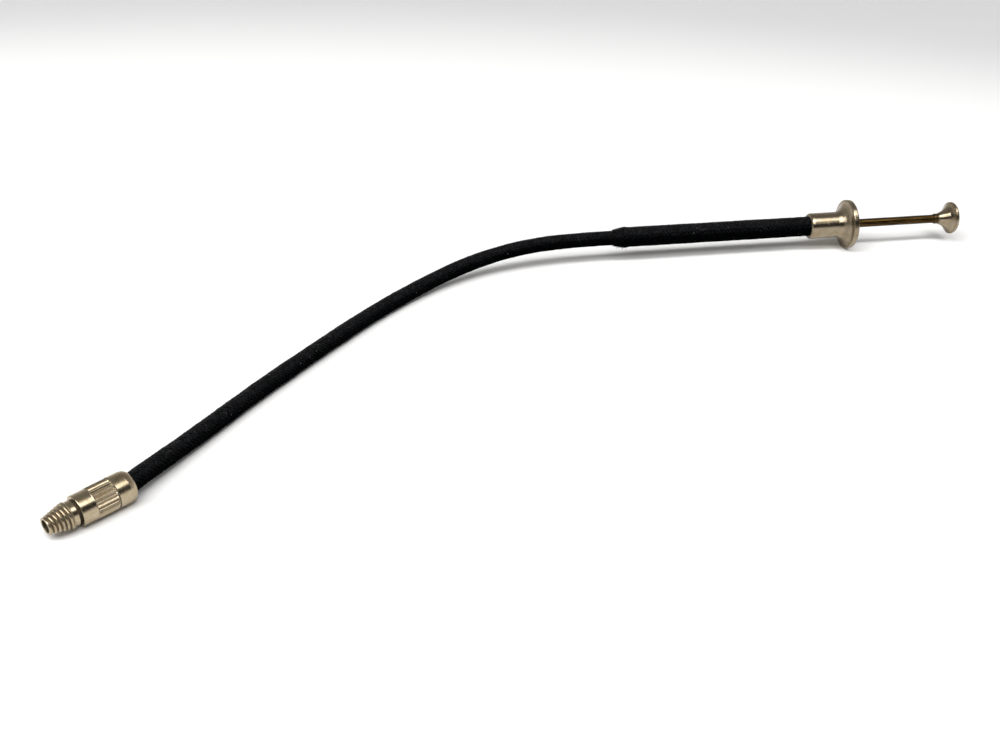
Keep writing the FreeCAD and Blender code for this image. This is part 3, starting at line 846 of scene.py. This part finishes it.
BODIES = ["cable_end"] + ["cable_%d" % i for i in range(1, 8)] + ["handle"]
MIDS = [-99.0] + [FLEX_AT[k] + 7.5 for k in range(7)] + [999.0]     # where a piece hands over to the next


def span(k):
    """Arc lengths of the piece across flex k, and where its bend begins and ends."""
    lo = -4.3 if k == 0 else FLEX_AT[k] - 7.5
    hi = CURVE_LEN + 1.3 if k == 7 else FLEX_AT[k] + 7.5
    b0 = 0.7 if k == 0 else FLEX_AT[k] - 7.5
    b1 = 117.2 if k == 7 else FLEX_AT[k] + 7.5
    return lo, hi, b0, b1


def bent(ob, k):
    _, _, b0, b1 = span(k)
    p0, p1 = along(np.array([b0]))[0][0] * MM, along(np.array([b1]))[0][0] * MM
    tuple(p0)
    tuple(p1)
    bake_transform(ob)


thin = Braid(11, 24, 1.352, 0.062, 0.262, 0.098, 8.6, 0.088)


def thin_radius(S):
    """The braid is squeezed a little inside the collar's mouth, and has faint
    lumps along the rest."""
    squeeze = -0.015 * (1 - smooth(S, -2.0, -0.2))
    lumps = 0.012 * np.sin(0.37 * S + 1.0) + 0.010 * np.sin(0.83 * S + 2.0)
    return squeeze + lumps * smooth(S, 0.5, 3.0)


frng = np.random.default_rng(29)
for k in range(8):
    lo, hi, b0, b1 = span(k)
    parts = [thin.build(lo, hi, thin_radius) + (0,)]
    vis0, vis1 = max(lo, 0.5), min(hi, CURVE_LEN - 1.0)
    parts.append(slivers(frng, vis0, vis1, 260, 1.49, 0.75, 0.013, 0.20) + (1,))
    parts.append(slivers(frng, vis0, vis1, 60, 1.49, 1.4, 0.011, 0.34) + (1,))
    parts.append(slivers(frng, vis0, vis1, 7, 1.515, 0.55, 0.016, 0.05, (0.3, 0.8)) + (2,))
    ob = soft_piece("braid_yarns_%d" % (k + 1), parts, [COTTON, FUZZ, LINT])
    bent(ob, k)
    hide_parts(*(["cable_braid_%d" % k] + (["cable_braid_8"] if k == 7 else [])))

# close-wound steel conduit and the core wire inside it
COIL_R, COIL_W, COIL_PITCH = 0.985, 0.158, 0.335


def coil(lo, hi):
    per = 18
    a = np.arange(int((hi - lo) / COIL_PITCH * per)) / per * TAU
    S = (lo + a / TAU * COIL_PITCH)[None]
    c, t, nn, bb = along(S)
    ra = np.cos(a)[None, :, None] * nn + np.sin(a)[None, :, None] * bb
    pos = c + COIL_R * ra
    d = np.gradient(pos, axis=1)
    d /= np.linalg.norm(d, axis=2)[..., None]
    side = np.cross(d, ra)
    hexa = np.array([(math.cos(q), math.sin(q)) for q in np.arange(6) / 6 * TAU]) * COIL_W
    v, faces, k = tubes(pos, side, ra, hexa)
    u = np.repeat((a * COIL_R)[:, None], 6, 1).ravel()
    vv = np.tile(np.arange(6) / 6.0, len(a))
    return v, faces, {"yarn_u": u, "yarn_v": vv, "tone": 0 * u, "rest": v}


def bar(lo, hi, r, step=0.5, k=20):
    s = np.linspace(lo, hi, max(3, int((hi - lo) / step)))[None]
    c, t, nn, bb = along(s)
    ring = np.array([(math.cos(q), math.sin(q)) for q in np.arange(k) / k * TAU]) * r
    v, faces, k = tubes(c, nn, bb, ring)
    u = np.repeat(s[0][:, None], k, 1).ravel()
    vv = np.tile(np.arange(k) / k, s.shape[1])
    return v, faces, {"yarn_u": u, "yarn_v": vv, "tone": 0 * u, "rest": v}


for k in range(8):
    lo, hi, b0, b1 = span(k)
    lo = -4.75 if k == 0 else lo
    hi = CURVE_LEN + 6.5 if k == 7 else hi
    ob = soft_piece("conduit_coil_%d" % (k + 1), [coil(lo, hi) + (0,)], [WOUND])
    bent(ob, k)
    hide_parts(*(["cable_conduit_%d" % k] + (["cable_conduit_8"] if k == 7 else [])))
    lo, hi, _, _ = span(k)
    lo = 0.05 if k == 0 else lo
    hi = CURVE_LEN + 30.0 if k == 7 else hi
    ob = soft_piece("core_wire_run_%d" % (k + 1), [bar(lo, hi, 0.50) + (0,)], [WOUND])
    bent(ob, k)
    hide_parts(*(["core_wire_%d" % k] + (["core_wire_8"] if k == 7 else [])))

# the handle's thicker braid, drawn down over the cable at its mouth
thick = Braid(17, 32, 1.915, 0.060, 0.272, 0.090, 12.6, 0.098)


def thick_radius(S):
    x = S - CURVE_LEN
    mouth = -0.30 * (1 - smooth(x, -0.6, 1.5)) + 0.13 * np.exp(-((x - 1.70) / 0.55)**2)
    lumps = 0.010 * np.sin(0.31 * S) + 0.008 * np.sin(0.9 * S + 1.0)
    return mouth + lumps * (1 - smooth(x, 38.0, 41.0)) - 0.012 * smooth(x, 40.2, 41.2)


trng = np.random.default_rng(41)
for k, (x0, x1) in enumerate(((-0.60, 21.0), (21.0, 43.5))):
    lo, hi = CURVE_LEN + x0, CURVE_LEN + x1
    parts = [thick.build(lo, hi, thick_radius) + (0,)]
    vis1 = min(hi, CURVE_LEN + 40.5)
    parts.append(slivers(trng, lo + 0.3, vis1, 420, 2.06, 0.8, 0.013, 0.20) + (1,))
    parts.append(slivers(trng, lo + 0.3, vis1, 80, 2.06, 1.5, 0.011, 0.32) + (1,))
    parts.append(slivers(trng, lo + 1.3, vis1, 8, 2.085, 0.5, 0.016, 0.05, (0.3, 0.9)) + (2,))
    if k == 0:      # ragged ends round the mouth, thickest underneath
        rag = lambda s: 1.66 + 0.45 * smooth(s - CURVE_LEN, -0.5, 1.5)
        parts.append(slivers(trng, lo, lo + 1.5, 190, rag, 0.9, 0.030, 0.22) + (1,))
        parts.append(slivers(trng, lo + 0.4, lo + 2.5, 150, rag, 0.85, 0.044, 0.50, (3.40, 0.65)) + (1,))
    ob = soft_piece("handle_braid_yarns_%d" % (k + 1), parts, [COTTON, FUZZ, LINT])
    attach(ob, "handle")
    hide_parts("handle_braid")

# ------------------------------------------------- parts kept as the CAD has them
for name, mat in (("release_pin", STEEL_X), ("cable_end_ferrule", BRASS_X), ("barrel_tube", BRASS),
                  ("conduit_socket", BRASS), ("spring_seat", BRASS), ("rod_guide_bush", BRASS),
                  ("plunger_stop", BRASS)):
    for s in frame["nodes"][name].material_slots:
        s.material = mat

# ------------------------------------------------------------------------ stage
FWD = np.array([0.7385, 0.6743, 0.0])          # away from the camera, level
RIGHT = np.array([0.6743, -0.7385, 0.0])
CENTRE = np.array([85.0, -5.0, TABLE_Z])


def floor_material():
    n = Nodes("pale_table")
    p = n.mm()
    away = n.add("ShaderNodeVectorMath", operation="DOT_PRODUCT")
    n.put(away.inputs[0], p)
    away.inputs[1].default_value = tuple(FWD)
    across = n.add("ShaderNodeVectorMath", operation="DOT_PRODUCT")
    n.put(across.inputs[0], p)
    across.inputs[1].default_value = tuple(RIGHT)
    # painted light and shade: the table's colour grows a little lighter out to about 200 mm behind, then darker
    # towards the back, standing in for the light falling off
    off = n.math("ADD", across.outputs["Value"], 20.0)
    away = n.math("MULTIPLY_ADD", n.math("MULTIPLY", off, off), 0.00105, away.outputs["Value"])
    painted_far_falloff = n.ramp(away, 205.0, 345.0)
    soft = n.noise(p, 0.02, 2.0)
    painted_near_light = n.mix(n.ramp(away, -60.0, 200.0), (0.86, 0.86, 0.855), (0.93, 0.93, 0.925))
    col = n.mix(painted_far_falloff, painted_near_light, (0.665, 0.665, 0.675))
    col = n.mix(n.ramp(soft, 0.3, 0.7, 0.0, 0.05), col, (0.84, 0.84, 0.83))
    n.put(n.bsdf.inputs["Base Color"], col)
    n.bsdf.inputs["Roughness"].default_value = 0.75
    n.bsdf.inputs["Specular IOR Level"].default_value = 0.25
    # far from the object the table fades into the pale background
    off = n.add("ShaderNodeVectorMath", operation="DISTANCE")
    n.put(off.inputs[0], p)
    off.inputs[1].default_value = (CENTRE[0], CENTRE[1], 0.0)
    path = n.add("ShaderNodeLightPath")
    fade = n.math("MULTIPLY", path.outputs["Is Camera Ray"], n.ramp(off.outputs["Value"], 380.0, 800.0))
    pale = n.add("ShaderNodeEmission")
    pale.inputs[0].default_value = (0.92, 0.92, 0.925, 1)
    mix = n.add("ShaderNodeMixShader")
    n.put(mix.inputs[0], fade)
    n.nt.links.new(n.bsdf.outputs[0], mix.inputs[1])
    n.nt.links.new(pale.outputs[0], mix.inputs[2])
    n.nt.links.new(mix.outputs[0], n.out.inputs[0])
    return n.mat


half = 3000.0
floor = make_mesh("table_top", [(-half, -half, 0), (half, -half, 0), (half, half, 0), (-half, half, 0)],
                  [np.array([[0, 1, 2, 3]])], materials=[floor_material()])
floor.location = (0, 0, TABLE_Z * MM)


def keep_floor_under():
    """The floor stays at the table's height, or sinks under whatever part of
    the object reaches lower when it moves."""
    turns = np.arange(8) / 8 * TAU
    marks = [(None, np.array([0.0, 0.0, TABLE_Z]))]
    for x, r in ((-4.5, 1.4), (0.3, 2.39), (8.0, 2.42)):
        marks += [("camera_end", p) for p in row_point(np.full(8, x), r, turns)]
    for x in (-2.6,):
        marks.append(("pin", np.array([x, 0.0, 0.0])))
    for k, s in enumerate(FLEX_AT):
        for ds, body in ((-2.0, BODIES[k]), (2.0, BODIES[k + 1]), (7.5, BODIES[k + 1])):
            c, _, nn, bb = (np.asarray(a)[0] for a in along(np.array([s + ds])))
            marks += [(body, c + 1.5 * (np.cos(a) * nn + np.sin(a) * bb)) for a in turns]
    for x, r, body in ((0.0, 2.1, "handle"), (42.0, 2.68, "handle"), (50.0, 5.05, "handle"),
                       (73.2, 3.35, "plunger")):
        marks += [(body, p) for p in handle_point(np.full(8, x), np.full(8, r), turns)]
    drive = floor.driver_add("location", 2).driver
    drive.type = "MIN"
    for i, (body, p) in enumerate(marks):
        mark = bpy.data.objects.new("floor_mark_%d" % i, None)
        bpy.context.scene.collection.objects.link(mark)
        mark.location = tuple(float(max(c, -1e9)) * MM for c in p)
        if body:
            mark.parent = frame["bodies"][body]
            mark.location[2] = max(mark.location[2], TABLE_Z * MM)
        mark.hide_render = True
        var = drive.variables.new()
        var.name, var.type = "m%d" % i, "TRANSFORMS"
        var.targets[0].id = mark
        var.targets[0].transform_type, var.targets[0].transform_space = "LOC_Z", "WORLD_SPACE"


keep_floor_under()


def strip(name, elev, dist, length, width, power, shift, colour=(1, 1, 1)):
    """Long soft lamp on the camera's side, lying left to right."""
    e = math.radians(elev)
    back = -FWD * math.cos(e) + UP * math.sin(e)
    at = CENTRE + back * dist + RIGHT * shift
    lamp = bpy.data.lights.new(name, "AREA")
    lamp.shape, lamp.size, lamp.size_y = "RECTANGLE", length * MM, width * MM
    lamp.energy, lamp.color = power, colour
    ob = bpy.data.objects.new(name, lamp)
    bpy.context.scene.collection.objects.link(ob)
    z = back / np.linalg.norm(back)                 # a lamp shines along its own -Z
    x = RIGHT
    y = np.cross(z, x)
    from mathutils import Matrix
    ob.matrix_world = Matrix([[x[0], y[0], z[0], at[0] * MM], [x[1], y[1], z[1], at[1] * MM],
                              [x[2], y[2], z[2], at[2] * MM], [0, 0, 0, 1]])
    return ob


strip("lamp_high", 68.8, 1500.0, 2300.0, 360.0, 21.5, -350.0)
strip("lamp_front", 50.0, 1500.0, 2300.0, 330.0, 10.8, -350.0)
# more of the same for matt surfaces only
for name, elev, power in (("lamp_high_matt", 68.0, 5.0), ("lamp_front_matt", 50.0, 2.5)):
    lamp = strip(name, elev, 1500.0, 2300.0, 260.0, power, -350.0)
    lamp.visible_glossy = False
# a wide sheet overhead on the right, seen only in the metal
sheet = strip("sheet", 82.0, 1500.0, 1700.0, 560.0, 9.0, 620.0)
sheet.visible_diffuse = False


def make_world():
    world = bpy.data.worlds.new("room")
    bpy.context.scene.world = world
    world.use_nodes = True
    nt = world.node_tree
    nt.nodes.clear()
    new, link = nt.nodes.new, nt.links.new
    out = new("ShaderNodeOutputWorld")
    bg = new("ShaderNodeBackground")
    link(bg.outputs[0], out.inputs[0])
    tc = new("ShaderNodeTexCoord")
    sep = new("ShaderNodeSeparateXYZ")
    link(tc.outputs["Generated"], sep.inputs[0])
    dot = new("ShaderNodeVectorMath"); dot.operation = "DOT_PRODUCT"
    link(tc.outputs["Generated"], dot.inputs[0])
    dot.inputs[1].default_value = tuple(-FWD)

    def curve(x, stops):
        r = new("ShaderNodeValToRGB")
        el = r.color_ramp.elements
        r.color_ramp.interpolation = "EASE"
        while len(el) > 1:
            el.remove(el[-1])
        el[0].position, el[0].color = stops[0][0], (*([stops[0][1]] * 3), 1)
        for p, v in stops[1:]:
            e = el.new(p); e.color = (*([v] * 3), 1)
        link(x, r.inputs[0])
        return r.outputs[0]

    # brightness by height, on the far side and on the camera's side
    back = curve(sep.outputs[2], [(0.0, 0.80), (0.25, 0.72), (0.6, 0.36), (1.0, 0.24)])
    front = curve(sep.outputs[2], [(0.0, 0.66), (0.10, 0.52), (0.20, 0.022), (0.62, 0.022), (0.80, 0.24), (1.0, 0.24)])
    side = new("ShaderNodeMapRange"); side.interpolation_type = "SMOOTHSTEP"
    side.inputs["From Min"].default_value, side.inputs["From Max"].default_value = -0.1, 0.35
    link(dot.outputs["Value"], side.inputs["Value"])
    mix = new("ShaderNodeMix"); mix.data_type = "RGBA"
    link(side.outputs[0], mix.inputs[0]); link(back, mix.inputs[6]); link(front, mix.inputs[7])
    tint = new("ShaderNodeMix"); tint.data_type = "RGBA"; tint.blend_type = "MULTIPLY"
    tint.inputs[0].default_value = 1.0
    link(mix.outputs[2], tint.inputs[6]); tint.inputs[7].default_value = (1.0, 0.985, 0.95, 1)
    path = new("ShaderNodeLightPath")
    seen = new("ShaderNodeMix"); seen.data_type = "RGBA"
    link(path.outputs["Is Camera Ray"], seen.inputs[0])
    link(tint.outputs[2], seen.inputs[6]); seen.inputs[7].default_value = (0.92, 0.92, 0.925, 1)
    link(seen.outputs[2], bg.inputs[0])
    # the room lights matt surfaces a little less than the metal shows
    level = new("ShaderNodeMath"); level.operation = "MULTIPLY_ADD"
    link(path.outputs["Is Diffuse Ray"], level.inputs[0])
    level.inputs[1].default_value, level.inputs[2].default_value = -0.20, 0.94
    link(level.outputs[0], bg.inputs[1])


make_world()

cam = bpy.data.cameras.new("camera")
cam.lens, cam.sensor_width, cam.sensor_fit = 39.6, 36.0, "HORIZONTAL"
cam.clip_start, cam.clip_end = 0.001, 20.0
camera = bpy.data.objects.new("camera", cam)
bpy.context.scene.collection.objects.link(camera)
camera.location = (-0.04983, -0.12547, 0.095115)
look = Vector((0.63299, 0.57799, -0.51504))
camera.rotation_mode = "QUATERNION"
camera.rotation_quaternion = look.to_track_quat("-Z", "Y")
bpy.context.scene.camera = camera

view = bpy.context.scene.view_settings
view.view_transform, view.look, view.exposure, view.gamma = "Standard", "None", 0.0, 1.0

bpy.context.view_layer.update()
